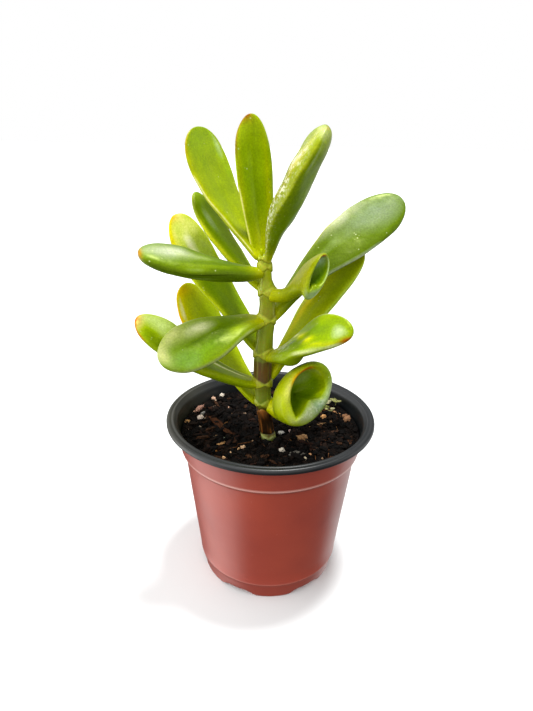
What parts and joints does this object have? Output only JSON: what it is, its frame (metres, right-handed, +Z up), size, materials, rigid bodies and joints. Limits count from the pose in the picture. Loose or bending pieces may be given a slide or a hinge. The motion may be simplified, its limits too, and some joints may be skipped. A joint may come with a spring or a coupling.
{
  "type": "potted jade plant",
  "caption": "Young unbranched jade plant with fleshy paired leaves, some of them rolled into cups, standing in soil in a round tapered nursery pot.",
  "frame": {"origin": "on the floor, at the centre of the pot's foot, under the middle of the plant's whole spread", "axes": "+Z up along the pot's axis, -Y towards the front of the plant, +X to its right"},
  "size_m": [0.1156, 0.1, 0.216],
  "materials": {
    "pot_plastic": "satin thermoformed polypropylene, terracotta outside, black inside and on the rim",
    "potting_soil": "moist dark potting mix with bark and grit",
    "stem_skin": "smooth green succulent stem turning to papery brown bark at the foot",
    "leaf_flesh": "smooth waxy succulent leaf, yellow-green with reddish edges"
  },
  "bodies": {
    "root": {"pot": "pot_plastic", "soil": "potting_soil", "stem": "stem_skin", "leaf_1_cup": "leaf_flesh", "leaf_1_back": "leaf_flesh", "leaf_2_left": "leaf_flesh", "leaf_2_right": "leaf_flesh", "leaf_3_spoon": "leaf_flesh", "leaf_3_back": "leaf_flesh", "leaf_4_left": "leaf_flesh", "leaf_4_right": "leaf_flesh", "leaf_5_scoop": "leaf_flesh", "leaf_5_back": "leaf_flesh", "leaf_6_left": "leaf_flesh", "leaf_6_right": "leaf_flesh", "leaf_7_front": "leaf_flesh", "leaf_7_back": "leaf_flesh", "leaf_bud": "leaf_flesh"}
  },
  "joints": []
}
